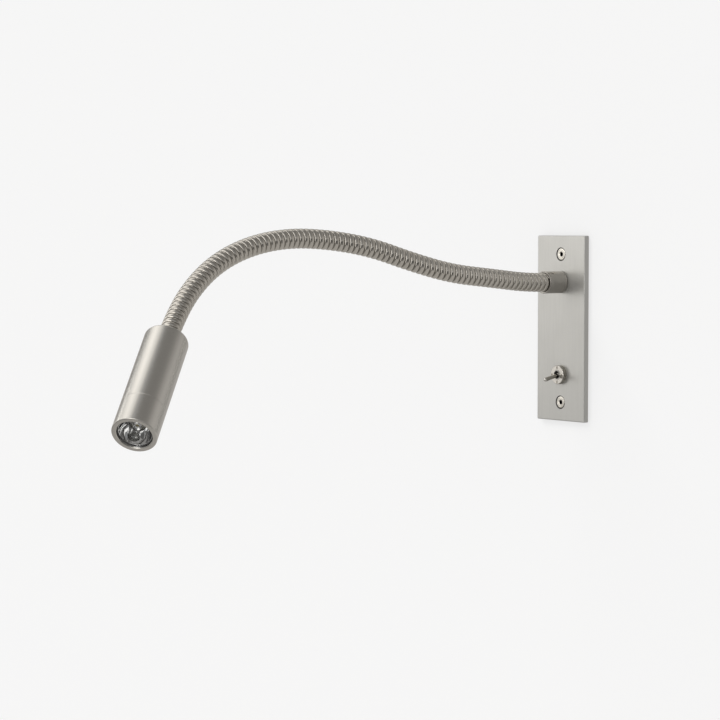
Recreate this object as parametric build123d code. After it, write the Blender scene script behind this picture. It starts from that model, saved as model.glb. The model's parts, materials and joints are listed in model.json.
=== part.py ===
from build123d import *
import os
from math import cos, radians, sin

# Gooseneck wall sconce, in millimetres. The wall plane is y = 0, the plate's back face.
# +X is to the right of someone who faces the plate, +Z is up, and the arm leaves towards -Y.
# The origin is the centre of the plate's back face.

# ---------------------------------------------------------------- driving dimensions
plate_width = 45.0
plate_height = 120.0
plate_thickness = 4.0
plate_edge = 0.35           # broken edge of the plate's front
screw_spacing = 96.0        # between the two cover screws
neck_height = 30.0          # neck axis above the plate's centre
switch_height = -30.0       # switch axis
running_gap = 0.3           # between pieces that move past each other

# metric thread sizes are given by their outer radius
m4_radius = 2.0
m4_head_radius = 4.0
m4_clear_radius = 2.2
countersink_radius = 4.4

# wall box, recessed in the wall behind the plate
box_width = 39.0
box_height = 112.0
box_depth = 42.0
box_wall = 1.2
box_corner = 3.0
lug_width = 14.0
lug_reach = 14.0
lug_thickness = 2.0
entry_hole_radius = 8.0
entry_depth = 22.0          # cable entry's distance behind the wall plane
fixing_spacing = 100.0
fixing_hole_radius = 2.25
grommet_bore_radius = 4.0

# gooseneck: spans of wound tube, each a smooth arc, on ball ends between them
span_count = 11
ribs_per_span = 8
rib_pitch = 3.62
neck_radius = 6.1
groove_radius = 5.5
groove_width = 0.6
rib_crown = 1.2             # width of the rib's flat top
neck_bore_radius = 3.2
# direction of the neck at the start of each span and at its tip, in degrees:
# how far it rises above level, and how far it swings towards +X
rise = [0, 6.5, 6, 15, 18.5, 9.5, 2.5, -9, -21, -33, -38.5, -40.4]
swing = [0, -4, -8, -12, -13.5, -10.5, -4.5, -0.5, 6.5, 17, 31, 38.9]

# collar and the threaded nipples at both ends of the neck
collar_radius = 7.0
collar_length = 15.0
collar_round = 1.0
socket_length = 8.0         # how deep the neck's end sits in the collar
nipple_radius = 5.0
spigot_radius = 4.4
nipple_bore_radius = 3.0
nipple_nut_width = 14.0
nipple_nut_height = 3.0
washer_radius = 9.0
washer_thickness = 1.0

# toggle switch
bushing_radius = 3.15
bushing_proud = 0.4
bushing_mouth_radius = 2.6
bushing_bore_radius = 1.8
ring_nut_radius = 6.1
ring_nut_height = 3.0
ring_nut_notches = 4
knurl_count = 36
lever_pivot = 5.4           # pivot's distance in front of the wall plane
lever_length = 13.2
lever_root_radius = 1.05
lever_tip_radius = 1.3
lever_ball_radius = 1.7
lever_tilt = 13.5           # photographed rest, below level
switch_width = 8.0
switch_length = 13.0
switch_front = 4.0
switch_depth = 10.0
switch_lug_pitch = 4.7

# driver, terminal block and earthing
driver_size = (30.0, 16.0, 32.0)
driver_top = 12.0
terminal_size = (24.0, 12.0, 12.0)
terminal_base = 34.0
lead_radius = 1.3
wire_radius = 0.7

# head
head_radius = 13.0
head_length = 76.0
seam_at = 46.6
seam_bevel = 0.2
head_inner_radius = 11.4
head_rear_wall = 4.0
head_rear_round = 1.2
lens_opening_radius = 10.2
lip_thickness = 1.5
gasket_thickness = 0.5
sink_start = 38.0
sink_end = 60.0
fin_count = 12
board_radius = 9.5
board_thickness = 1.6
pad_thickness = 0.4
board_screw_offset = 6.8
led_wire_offset = 7.4
lens_flange = 1.8           # thickness of the optic's rim
lens_step = 1.0             # how far the optic stands up into the opening
lens_crown = 1.4            # and the rise of its domed front above that

span_length = ribs_per_span * rib_pitch
plate_front = -plate_thickness
collar_front = plate_front - collar_length
box_back = box_depth - box_wall
board_front = sink_end + pad_thickness + board_thickness
lens_rim = head_length - lip_thickness - gasket_thickness


# ---------------------------------------------------------------- shared shapes
def outward(x, z, y=0.0):
    """A plane whose normal leaves the wall: its local x, y, z are +X, +Z and -Y."""
    return Plane(origin=(x, y, z), x_dir=(1, 0, 0), z_dir=(0, -1, 0))


def turned(place, *outline):
    """A piece turned about the place's normal, from points (radius, height)."""
    section = make_face(Polyline(*[(r, 0, h) for r, h in outline], close=True))
    return place * revolve(section, Axis.Z)


def ring(place, outer, inner, start, end):
    """A plain washer, sleeve or tube."""
    return turned(place, (inner, start), (outer, start), (outer, end), (inner, end))


def block(x, y, z):
    """A box between two limits on each axis."""
    return Pos((x[0] + x[1]) / 2, (y[0] + y[1]) / 2, (z[0] + z[1]) / 2) * Box(
        x[1] - x[0], y[1] - y[0], z[1] - z[0]
    )


def hex_nut(place, across_flats, bore, start, height):
    """A hexagon nut with a plain bore."""
    hexagon = RegularPolygon(across_flats / 2, 6, major_radius=False)
    nut = Pos(0, 0, start) * extrude(hexagon - Circle(bore), height)
    corner_cut = turned(
        Plane.XY,
        (across_flats / 2, start - 1),
        (across_flats, start - 1),
        (across_flats, start + height + 1),
        (across_flats / 2 + 1.6, start + height + 1),
        (across_flats / 2 + 0.1, start + height - 0.35),
        (across_flats / 2 + 1.6, start + height / 2),
        (across_flats / 2 + 0.1, start + 0.35),
    )
    return place * (nut - corner_cut)


def tube_along(points, bend, radius):
    """A wire: straight runs joined by arcs, each as large as its runs allow."""
    path = FilletPolyline(*points, radius=bend)
    start = Plane(origin=path @ 0, z_dir=path % 0)
    return sweep(start * Circle(radius), path=path)


# ---------------------------------------------------------------- the neck's line
def direction(up, side):
    """Unit vector of a direction given by its rise and swing in degrees."""
    a = radians(up)
    b = radians(side)
    return Vector(cos(a) * sin(b), -cos(a) * cos(b), sin(a))


def neck_line():
    """Joint centres and directions along the neck; each span is one circular arc."""
    ways = [direction(up, side) for up, side in zip(rise, swing)]
    knots = [Vector(0, collar_front, neck_height)]
    for start, end in zip(ways, ways[1:]):
        turn = radians(start.get_angle(end))
        chord = 2 * span_length / turn * sin(turn / 2)
        knots.append(knots[-1] + (start + end).normalized() * chord)
    return knots, ways


knots, ways = neck_line()
head = Plane(origin=knots[-1], x_dir=ways[-1].cross(Vector(0, 0, 1)), z_dir=ways[-1])


def span_arc(index):
    """The centre line of one span."""
    return Edge.make_tangent_arc(knots[index], ways[index], knots[index + 1])


def station(index, along):
    """A cross-section plane on a span; its X axis is square to the arc all the way."""
    steady = ways[index].cross(ways[index + 1])
    share = along / span_length
    if 0 <= share <= 1:
        arc = span_arc(index)
        return Plane(origin=arc @ share, x_dir=steady, z_dir=arc % share)
    knot = index + (share > 1)
    beyond = along - (share > 1) * span_length
    return Plane(origin=knots[knot] + ways[knot] * beyond, x_dir=steady, z_dir=ways[knot])


def wound_sections(index, first, last):
    """Circles of the ribs and grooves between two stations of a span."""
    foot = (rib_pitch - groove_width) / 2
    crown = rib_crown / 2
    steps = []
    for count in range(ribs_per_span + 1):
        middle = count * rib_pitch
        steps.append((middle - foot, groove_radius))
        steps.append((middle - crown, neck_radius))
        steps.append((middle + crown, neck_radius))
        steps.append((middle + foot, groove_radius))
    return [station(index, s) * Circle(r) for s, r in steps if first <= s <= last]


def neck_bore(index, before, beyond):
    """The wire's passage: along the arc and straight on past both ends."""
    arc = span_arc(index)
    start = knots[index]
    end = knots[index + 1]
    path = Wire([
        Edge.make_line(start - ways[index] * before, start),
        arc,
        Edge.make_line(end, end + ways[index + 1] * beyond),
    ])
    mouth = Plane(origin=path @ 0, z_dir=ways[index])
    return sweep(mouth * Circle(neck_bore_radius), path=path)


def neck_span(index):
    """One span of wound tube: a socket at its wall end and a ball at its head end."""
    is_first = index == 0
    is_last = index == span_count - 1
    foot = (rib_pitch - groove_width) / 2
    # the first and last spans end in half a rib against the collar and the head
    start = -foot if is_first else rib_pitch - foot
    end = span_length + foot if is_last else span_length - foot
    sections = wound_sections(index, start + 0.01, end + 0.01)
    if is_first:
        sections = [station(index, 0) * Circle(neck_radius)] + sections[2:]
    else:
        sections = [station(index, start) * Circle(groove_radius)] + sections
    if is_last:
        sections = sections[:-2] + [station(index, span_length) * Circle(neck_radius)]
    span = loft(sections, ruled=True)
    if is_first:
        span += ring(station(index, 0), groove_radius, 0.5, -socket_length, 0)
        span -= turned(
            station(index, 0),
            (0, -socket_length - 1), (spigot_radius, -socket_length - 1),
            (spigot_radius, 0), (0, 0),
        )
    else:
        span -= Pos(knots[index]) * Sphere(neck_radius + running_gap)
    if is_last:
        span -= turned(
            station(index, span_length),
            (0, -socket_length), (spigot_radius, -socket_length),
            (spigot_radius, 1), (0, 1),
        )
    else:
        ball = Sphere(neck_radius) & block((-9, 9), (-9, 9), (-foot, 9))
        span += station(index, span_length) * ball
    return span - neck_bore(index, socket_length + 2, neck_radius + 2)


# ---------------------------------------------------------------- wall side
def wall_box():
    """Folded sheet-steel box, open to the room, with two tapped lugs for the cover."""
    outer = block(
        (-box_width / 2, box_width / 2), (0, box_depth), (-box_height / 2, box_height / 2)
    )
    outer = fillet(outer.edges().filter_by(Axis.Y), box_corner)
    inner = block(
        (-box_width / 2 + box_wall, box_width / 2 - box_wall),
        (-1, box_back),
        (-box_height / 2 + box_wall, box_height / 2 - box_wall),
    )
    inner = fillet(inner.edges().filter_by(Axis.Y), box_corner - box_wall)
    box = outer - inner
    for side in (-1, 1):
        low, high = sorted((side * (box_height / 2 - lug_reach), side * (box_height / 2 - 0.5)))
        lug = block((-lug_width / 2, lug_width / 2), (0, lug_thickness), (low, high))
        box += lug
        box -= outward(0, side * screw_spacing / 2) * Cylinder(m4_radius, 20)
        box -= outward(0, side * fixing_spacing / 2, box_depth) * Cylinder(fixing_hole_radius, 8)
    entry = Plane(origin=(0, entry_depth, box_height / 2), z_dir=(0, 0, 1))
    box -= entry * Cylinder(entry_hole_radius, 8)
    box -= outward(-10, -46, box_depth) * Cylinder(1.5, 8)
    return box


def entry_grommet():
    """Rubber ring that grips the edge of the cable entry."""
    top = box_height / 2
    return turned(
        Plane(origin=(0, entry_depth, top), z_dir=(0, 0, 1)),
        (grommet_bore_radius, -box_wall - 2.2),
        (entry_hole_radius + 1.2, -box_wall - 1.4),
        (entry_hole_radius + 1.6, -box_wall),
        (entry_hole_radius, -box_wall),
        (entry_hole_radius, 0),
        (entry_hole_radius + 1.6, 0),
        (entry_hole_radius + 1.2, 1.4),
        (grommet_bore_radius, 2.2),
    )


def wall_plate():
    """The visible cover, machined from flat bar."""
    plate = block(
        (-plate_width / 2, plate_width / 2),
        (plate_front, 0),
        (-plate_height / 2, plate_height / 2),
    )
    front = plate.faces().sort_by(Axis.Y)[0]
    plate = chamfer(front.edges() + plate.edges().filter_by(Axis.Y), plate_edge)
    depth = countersink_radius - m4_clear_radius
    for side in (-1, 1):
        plate -= turned(
            outward(0, side * screw_spacing / 2),
            (0, -1), (m4_clear_radius, -1),
            (m4_clear_radius, plate_thickness - depth),
            (countersink_radius, plate_thickness),
            (countersink_radius, plate_thickness + 1), (0, plate_thickness + 1),
        )
    plate -= outward(0, neck_height) * Cylinder(nipple_radius, 20)
    return plate - outward(0, switch_height) * Cylinder(bushing_radius, 20)


def plate_screws():
    """Two countersunk socket screws, heads level with the plate."""
    top = plate_thickness - 0.25
    cone_start = plate_thickness - countersink_radius + m4_radius
    cone_end = cone_start + m4_head_radius - m4_radius
    key = Pos(0, 0, top - 2) * extrude(RegularPolygon(1.25, 6, major_radius=False), 3)
    screw = turned(
        Plane.XY,
        (0, -8), (m4_radius - 0.5, -8), (m4_radius, -7.5),
        (m4_radius, cone_start), (m4_head_radius, cone_end),
        (m4_head_radius, top), (0, top),
    ) - key
    return Compound([outward(0, side * screw_spacing / 2) * screw for side in (-1, 1)])


def base_collar():
    """Turned collar screwed to the nipple; the neck's end sits in its mouth."""
    seat = plate_thickness + collar_length - socket_length
    collar = turned(
        outward(0, neck_height),
        (nipple_radius, plate_thickness),
        (collar_radius, plate_thickness),
        (collar_radius, plate_thickness + collar_length),
        (groove_radius, plate_thickness + collar_length),
        (groove_radius, seat),
        (nipple_radius, seat),
    )
    rim = collar.edges().filter_by(GeomType.CIRCLE).group_by(Axis.Y)[-1].sort_by(SortBy.RADIUS)
    collar = fillet(rim[-1], collar_round)
    mouth = collar.edges().filter_by(GeomType.CIRCLE).group_by(Axis.Y)[0].sort_by(SortBy.RADIUS)
    return chamfer(mouth[-1], 0.3)


def threaded_nipple(place, spigot_end, thread_start, thread_end):
    """Hollow threaded tube with a plain spigot that fits in the neck."""
    return turned(
        place,
        (nipple_bore_radius, spigot_end),
        (spigot_radius, spigot_end),
        (spigot_radius, thread_start),
        (nipple_radius, thread_start),
        (nipple_radius, thread_end),
        (nipple_bore_radius, thread_end),
    )


def switch_bushing():
    """Threaded bushing that carries the lever's ball seat."""
    end = plate_thickness + ring_nut_height + bushing_proud
    seat = lever_pivot
    seat_radius = lever_ball_radius + 0.3
    return turned(
        outward(0, switch_height),
        (bushing_bore_radius, -switch_front),
        (bushing_radius, -switch_front),
        (bushing_radius, end - 0.3),
        (bushing_radius - 0.3, end),
        (bushing_mouth_radius, end),
        (seat_radius, seat + 0.5),
        (seat_radius, seat - 1.5),
        (bushing_bore_radius, seat - 1.5),
    )


def switch_ring_nut():
    """Knurled dress nut with spanner notches across its face."""
    base = plate_thickness
    top = base + ring_nut_height
    nut = turned(
        outward(0, switch_height),
        (bushing_radius, base), (ring_nut_radius, base),
        (ring_nut_radius, top - 0.4), (ring_nut_radius - 0.4, top),
        (bushing_radius, top),
    )
    place = outward(0, switch_height)
    for count in range(knurl_count):
        turn = Rot(0, 0, 360 / knurl_count * count)
        flute = Pos(ring_nut_radius + 0.12, 0, base + 1.3) * Rot(0, 0, 45) * Box(0.5, 0.5, 2.6)
        nut -= place * turn * flute
    for count in range(ring_nut_notches):
        turn = Rot(0, 0, 360 / ring_nut_notches * count)
        nut -= place * turn * Pos(4.6, 0, top) * Box(1.7, 1.1, 1.2)
    return nut


def switch_lever():
    """Lever with its ball and tail, tilted down about the pivot."""
    place = Plane(
        origin=(0, -lever_pivot, switch_height), x_dir=(1, 0, 0),
        z_dir=(0, -cos(radians(lever_tilt)), -sin(radians(lever_tilt))),
    )
    tip = lever_length - lever_tip_radius
    stem = turned(
        place,
        (0, -3.5), (0.6, -3.5), (0.8, -1.0), (lever_root_radius, 0),
        (lever_root_radius, 2), (lever_tip_radius, tip), (0, tip),
    )
    return stem + place * Sphere(lever_ball_radius) + place * Pos(0, 0, tip) * Sphere(lever_tip_radius)


def switch_body():
    """Moulded switch case with its metal frame's rounded corners."""
    case = block(
        (-switch_width / 2, switch_width / 2),
        (switch_front, switch_front + switch_depth),
        (switch_height - switch_length / 2, switch_height + switch_length / 2),
    )
    case = fillet(case.edges().filter_by(Axis.Y), 0.8)
    return case - outward(0, switch_height, switch_front) * Cylinder(bushing_bore_radius, 3)


def switch_lugs():
    """Two solder lugs in line with the lever's travel, each with an eye."""
    lugs = []
    for height in (switch_height, switch_height - switch_lug_pitch):
        back = switch_front + switch_depth
        lug = block((-1.0, 1.0), (back, back + 4), (height - 0.4, height + 0.4))
        lugs.append(lug - Pos(0, back + 2.4, height) * Cylinder(0.45, 3))
    return Compound(lugs)


def led_driver():
    """Potted constant-current driver with a screw ear at each end."""
    width, depth, height = driver_size
    case = block(
        (-width / 2, width / 2), (box_back - depth, box_back), (driver_top - height, driver_top)
    )
    case = fillet(case.edges().filter_by(Axis.Y), 2)
    for count in range(5):
        across = -10 + 5 * count
        case -= block(
            (across - 0.8, across + 0.8),
            (box_back - depth - 1, box_back - depth + 0.8),
            (driver_top - height + 5, driver_top - 5),
        )
    for side in (-1, 1):
        edge = driver_top if side > 0 else driver_top - height
        low, high = sorted((edge - side, edge + side * 6))
        ear = block((side * 10 - 4, side * 10 + 4), (box_back - 2, box_back), (low, high))
        case += ear - outward(side * 10, edge + side * 3, box_back) * Cylinder(1.6, 8)
    return case


def driver_screws():
    """Pan-head screws through the driver's ears into the box."""
    screws = []
    for side in (-1, 1):
        edge = driver_top if side > 0 else driver_top - driver_size[2]
        place = outward(side * 10, edge + side * 3, box_back)
        screws.append(turned(
            place, (0, 0.0), (1.6, 0.0), (1.6, 2), (2.8, 2), (2.8, 3.2), (2.2, 4), (0, 4)
        ) - place * Pos(0, 0, 3.6) * Box(3.6, 0.7, 1.2))
    return Compound(screws)


def terminal_block():
    """Two-pole terminal block: a clamp screw over each wire hole."""
    width, depth, height = terminal_size
    front = box_back - depth
    case = block((-width / 2, width / 2), (front, box_back), (terminal_base, terminal_base + height))
    case = chamfer(case.edges().filter_by(Axis.X).group_by(Axis.Y)[0], 1.5)
    case -= block((-0.8, 0.8), (front - 1, front + 4), (terminal_base - 1, terminal_base + height + 1))
    for side in (-1, 1):
        case -= Pos(side * 6, front + 6, terminal_base) * Cylinder(1.6, 60)
        case -= outward(side * 6, terminal_base + height / 2, front) * Cylinder(2.0, 10)
    return case


def terminal_screws():
    """Slotted clamp screws of the terminal block."""
    front = box_back - terminal_size[1]
    screws = []
    for side in (-1, 1):
        place = outward(side * 6, terminal_base + terminal_size[2] / 2, front + 1)
        screw = turned(place, (0, -3.2), (1.9, -3.2), (1.9, 0), (0, 0))
        screws.append(screw - place * Box(5, 0.8, 1.6))
    return Compound(screws)


def earth_screw():
    """Screw for the earth tag on the back of the box."""
    place = outward(-10, -46, box_back)
    return turned(
        place, (0, -1.2), (1.5, -1.2), (1.5, 0.8), (3, 0.8), (3, 2.2), (2.4, 3), (0, 3)
    ) - place * Pos(0, 0, 2.8) * Box(4, 0.8, 1.4)


def earth_tag():
    """Flat tag with a blade for a push-on connector."""
    eye = extrude(Circle(4) - Circle(1.5), 0.8)
    blade = Pos(8, 0, 0.4) * Box(10, 4.8, 0.8) - Pos(11, 0, 0.4) * Cylinder(0.8, 3)
    return outward(-10, -46, box_back) * (eye + blade - Cylinder(1.5, 4))


# ---------------------------------------------------------------- wires
def supply_wires():
    """Line and neutral, straight from the terminal block to the driver."""
    front = box_back - terminal_size[1]
    return Compound([
        Pos(side * 6, front + 6, (terminal_base + driver_top) / 2)
        * Cylinder(wire_radius, terminal_base - driver_top)
        for side in (-1, 1)
    ])


def switch_wires():
    """One wire from each switch lug, back and up into the driver's foot."""
    foot = driver_top - driver_size[2]
    start = switch_front + switch_depth + 4
    wires = []
    for height, back in ((switch_height, 27.0), (switch_height - switch_lug_pitch, 33.0)):
        bend = 0.45 * min(back - start, foot - height)
        wires.append(tube_along([(0, start, height), (0, back, height), (0, back, foot)], bend, wire_radius))
        print("switch wire bend", round(bend, 2))
    return Compound(wires)


def lead_path():
    """From the driver up and out through the nipple, along every span, into the head."""
    rear = Vector(0, 31, neck_height)
    inside = FilletPolyline(
        (0, 31, driver_top), rear, (0, 8, neck_height), radius=0.45 * (neck_height - driver_top)
    )
    run = Edge.make_line((0, 8, neck_height), knots[0])
    arcs = [span_arc(index) for index in range(span_count)]
    tail = Edge.make_line(knots[-1], knots[-1] + ways[-1] * 14)
    return Wire(list(inside.edges()) + [run] + arcs + [tail])


def neck_lead():
    """Two-core lead from the driver to the head, in one length."""
    path = lead_path()
    print("lead length", round(path.length, 1), "smallest bend", 0.45 * (neck_height - driver_top))
    return sweep(Plane(origin=path @ 0, z_dir=path % 0) * Circle(lead_radius), path=path)


# ---------------------------------------------------------------- head
def head_body():
    """Rear shell: a tube with a thick rear wall for the nipple."""
    shell = turned(
        head,
        (nipple_radius, 0), (head_radius, 0),
        (head_radius, seam_at - seam_bevel), (head_radius - seam_bevel, seam_at),
        (head_inner_radius, seam_at), (head_inner_radius, head_rear_wall),
        (nipple_radius, head_rear_wall),
    )
    rear = shell.edges().filter_by(GeomType.CIRCLE).sort_by(lambda e: (e.center() - knots[-1]).length)
    outer = [e for e in rear if abs(e.radius - head_radius) < 0.01][0]
    return fillet(outer, head_rear_round)


def head_bezel():
    """Front barrel with an inward lip that holds the lens."""
    lip = head_length - lip_thickness
    return turned(
        head,
        (head_inner_radius, seam_at), (head_radius - seam_bevel, seam_at),
        (head_radius, seam_at + seam_bevel), (head_radius, head_length - 0.5),
        (head_radius - 0.5, head_length), (lens_opening_radius + 0.3, head_length),
        (lens_opening_radius, head_length - 0.3), (lens_opening_radius, lip),
        (head_inner_radius, lip),
    )


def heat_sink():
    """Aluminium core that joins shell and bezel, finned at the rear, bored for the wires."""
    sink = ring(head, head_inner_radius, 2.5, sink_start, sink_end)
    sink = sink + ring(head, 2.5, 0, (sink_start + sink_end) / 2, sink_end)
    for count in range(fin_count):
        turn = Rot(0, 0, 360 / fin_count * (count + 0.5))
        sink -= head * turn * Pos(8, 0, sink_start + 3) * Box(7, 1.6, 12)
    sink -= head * Pos(led_wire_offset, 0, (sink_start + sink_end) / 2) * Cylinder(1.7, 40)
    for side in (-1, 1):
        sink -= head * Pos(0, side * board_screw_offset, sink_end) * Cylinder(0.95, 10)
    return sink


def thermal_pad():
    """Soft pad between the core and the board, open at the screws and wires."""
    pad = head * Pos(0, 0, sink_end + pad_thickness / 2) * Cylinder(board_radius, pad_thickness)
    return pad - board_openings()


def board_openings():
    """Screw holes and the wire notch, cut through pad and board alike."""
    notch = head * Pos(led_wire_offset + 1.5, 0, sink_end) * Box(6.4, 3.4, 10)
    holes = [head * Pos(0, side * board_screw_offset, sink_end) * Cylinder(0.95, 10) for side in (-1, 1)]
    return holes[0] + holes[1] + notch


def led_board():
    """Round metal-core board."""
    middle = sink_end + pad_thickness + board_thickness / 2
    return head * Pos(0, 0, middle) * Cylinder(board_radius, board_thickness) - board_openings()


def led_emitter():
    """LED package: a square base under a clear dome."""
    base = Pos(0, 0, board_front + 0.4) * Box(3.5, 3.5, 0.8)
    dome = Pos(0, 0, board_front + 0.8) * Sphere(1.3)
    return head * (base + (dome & block((-2, 2), (-2, 2), (board_front + 0.8, board_front + 3))))


def board_screws():
    """Two small pan-head screws that hold the board to the core."""
    screw = turned(
        Plane.XY, (0, -6), (0.95, -6), (0.95, 0), (1.7, 0), (1.7, 0.8), (1.3, 1.2), (0, 1.2)
    ) - Pos(0, 0, 1.1) * Box(2.2, 0.45, 0.8) - Pos(0, 0, 1.1) * Box(0.45, 2.2, 0.8)
    return Compound([
        head * Pos(0, side * board_screw_offset, board_front) * screw for side in (-1, 1)
    ])


def lens():
    """Moulded optic: a reflecting cone over the LED, and a domed front that fills the opening."""
    foot = board_front + 1.0
    under = lens_rim - lens_flange
    outer = head_inner_radius - 0.15
    cone = turned(
        head,
        (2.2, foot), (4.2, foot), (9.0, under), (outer, under),
        (outer, lens_rim), (0, lens_rim), (0, foot + 3.4), (1.9, foot + 3.4),
    )
    face_radius = lens_opening_radius - 0.2
    dome_radius = (face_radius ** 2 + lens_crown ** 2) / (2 * lens_crown)
    top = lens_rim + lens_step + lens_crown
    dome = Pos(0, 0, top - dome_radius) * Sphere(dome_radius)
    face = Pos(0, 0, (lens_rim + top) / 2) * Cylinder(face_radius, top - lens_rim)
    return cone + head * (dome & face)


def lens_holder():
    """Moulded ring on three feet, which stands on the board and centres the optic."""
    holder = ring(head, head_inner_radius - 0.1, 9.3, board_front, lens_rim - lens_flange)
    for count in range(3):
        window = Rot(0, 0, 120 * count) * Pos(10, 0, board_front + 1) * Box(6, 13, 4)
        holder -= head * window
    return holder


def lens_gasket():
    """Flat rubber ring between the optic and the lip."""
    return ring(head, head_inner_radius, lens_opening_radius, lens_rim, lens_rim + gasket_thickness)


def lead_plug():
    """Two-pole plug that joins the lead to the board's wires."""
    housing = Pos(0, 0, 17) * Box(7, 4.5, 6)
    housing = chamfer(housing.edges().filter_by(Axis.Z), 0.4)
    return head * (housing + Pos(0, 2.5, 17) * Box(2, 0.8, 4))


def led_wires():
    """A pair from the plug through the core's side bore to the board."""
    wires = []
    for side in (-0.65, 0.65):
        points = [(1.2, side, 20), (1.2, side, 25), (led_wire_offset, side, 32), (led_wire_offset, side, 61.6)]
        route = [head.from_local_coords(p) for p in points]
        wires.append(tube_along(route, [4.0, 4.0], 0.5))
    return Compound(wires)


# ---------------------------------------------------------------- assembly
wall_nipple = outward(0, neck_height)
spigot_depth = plate_thickness + collar_length
parts = {
    "wall_box": wall_box(),
    "entry_grommet": entry_grommet(),
    "wall_plate": wall_plate(),
    "plate_screws": plate_screws(),
    "base_collar": base_collar(),
    "neck_nipple": threaded_nipple(wall_nipple, spigot_depth, spigot_depth - socket_length, -9),
    "nipple_washer": ring(wall_nipple, washer_radius, nipple_radius, -washer_thickness, 0),
    "nipple_nut": hex_nut(
        wall_nipple, nipple_nut_width, nipple_radius,
        -washer_thickness - nipple_nut_height, nipple_nut_height,
    ),
    "switch_bushing": switch_bushing(),
    "switch_ring_nut": switch_ring_nut(),
    "switch_lock_washer": ring(outward(0, switch_height), 5.0, bushing_radius, -0.6, 0),
    "switch_back_nut": hex_nut(outward(0, switch_height), 8.0, bushing_radius, -2.6, 2.0),
    "switch_lever": switch_lever(),
    "switch_body": switch_body(),
    "switch_lugs": switch_lugs(),
    "led_driver": led_driver(),
    "driver_screws": driver_screws(),
    "terminal_block": terminal_block(),
    "terminal_screws": terminal_screws(),
    "earth_screw": earth_screw(),
    "earth_tag": earth_tag(),
    "supply_wires": supply_wires(),
    "switch_wires": switch_wires(),
    "neck_lead": neck_lead(),
    "tip_nipple": threaded_nipple(head, -socket_length, 0, head_rear_wall + nipple_nut_height + 1),
    "tip_nut": hex_nut(head, nipple_nut_width, nipple_radius, head_rear_wall, nipple_nut_height),
    "head_body": head_body(),
    "head_bezel": head_bezel(),
    "heat_sink": heat_sink(),
    "thermal_pad": thermal_pad(),
    "led_board": led_board(),
    "led_emitter": led_emitter(),
    "board_screws": board_screws(),
    "lens": lens(),
    "lens_holder": lens_holder(),
    "lens_gasket": lens_gasket(),
    "lead_plug": lead_plug(),
    "led_wires": led_wires(),
}
for number in range(span_count):
    parts[f"neck_span_{number + 1}"] = neck_span(number)

os.makedirs("parts", exist_ok=True)
for name, solid in parts.items():
    solid.label = name
    export_step(solid, f"parts/{name}.step")
print("wrote", len(parts), "parts")
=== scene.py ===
import bpy
import json
from math import asin, cos, pi, radians, sin, tan
from mathutils import Matrix, Vector


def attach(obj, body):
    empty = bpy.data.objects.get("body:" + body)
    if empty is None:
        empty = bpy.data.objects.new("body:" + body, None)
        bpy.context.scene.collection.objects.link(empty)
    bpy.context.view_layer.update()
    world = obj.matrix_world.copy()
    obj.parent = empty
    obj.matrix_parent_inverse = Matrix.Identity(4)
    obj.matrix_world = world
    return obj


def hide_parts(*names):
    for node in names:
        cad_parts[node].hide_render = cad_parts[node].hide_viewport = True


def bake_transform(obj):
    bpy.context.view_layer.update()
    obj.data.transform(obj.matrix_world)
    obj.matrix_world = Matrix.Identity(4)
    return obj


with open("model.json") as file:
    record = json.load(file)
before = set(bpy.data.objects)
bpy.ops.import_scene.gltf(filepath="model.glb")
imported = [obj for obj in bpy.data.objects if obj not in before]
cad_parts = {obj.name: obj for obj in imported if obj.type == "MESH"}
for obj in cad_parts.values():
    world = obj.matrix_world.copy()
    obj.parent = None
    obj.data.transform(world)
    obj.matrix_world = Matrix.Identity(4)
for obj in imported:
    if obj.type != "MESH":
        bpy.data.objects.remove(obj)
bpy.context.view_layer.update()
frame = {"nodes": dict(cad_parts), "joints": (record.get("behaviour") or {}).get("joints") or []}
mm = 0.001
samePoint = 0.0005 * mm
print("frame loaded,", len(frame["nodes"]), "nodes")


# working helpers

def clearSelection():
    bpy.ops.object.select_all(action='DESELECT')


def pick(piece):
    clearSelection()
    piece.select_set(True)
    bpy.context.view_layer.objects.active = piece


def applyModifiers(piece):
    pick(piece)
    for modifier in list(piece.modifiers):
        bpy.ops.object.modifier_apply(modifier=modifier.name)


def closeShape(piece):
    # points at the same place merged, open ends filled, faces turned outwards
    pick(piece)
    bpy.ops.object.mode_set(mode='EDIT')
    bpy.ops.mesh.select_all(action='SELECT')
    bpy.ops.mesh.remove_doubles(threshold=samePoint)
    bpy.ops.mesh.fill_holes(sides=0)
    bpy.ops.mesh.select_all(action='SELECT')
    bpy.ops.mesh.normals_make_consistent(inside=False)
    bpy.ops.object.mode_set(mode='OBJECT')


def turnShape(name, outline, sides=96):
    # a turned shape about Z: each (radius, height) pair in mm is one ring, pulled from the last
    clearSelection()
    radius, height = outline[0]
    bpy.ops.mesh.primitive_circle_add(vertices=sides, radius=radius * mm, fill_type='NOTHING')
    piece = bpy.context.object
    piece.name = name
    bpy.ops.object.mode_set(mode='EDIT')
    bpy.ops.mesh.select_all(action='SELECT')
    bpy.ops.transform.translate(value=(0, 0, height * mm))
    for nextRadius, nextHeight in outline[1:]:
        rise = (0, 0, (nextHeight - height) * mm)
        grow = nextRadius / radius
        bpy.ops.mesh.extrude_edges_move(TRANSFORM_OT_translate={"value": rise})
        bpy.ops.transform.resize(value=(grow, grow, 1), center_override=(0, 0, nextHeight * mm))
        radius, height = nextRadius, nextHeight
    bpy.ops.object.mode_set(mode='OBJECT')
    closeShape(piece)
    return piece


def roundCorner(centre, size, first, last, steps):
    # points of a turned corner, angles in degrees from the radius direction
    turns = [radians(first + (last - first) * k / steps) for k in range(steps + 1)]
    return [(centre[0] + size * cos(a), centre[1] + size * sin(a)) for a in turns]


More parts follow.
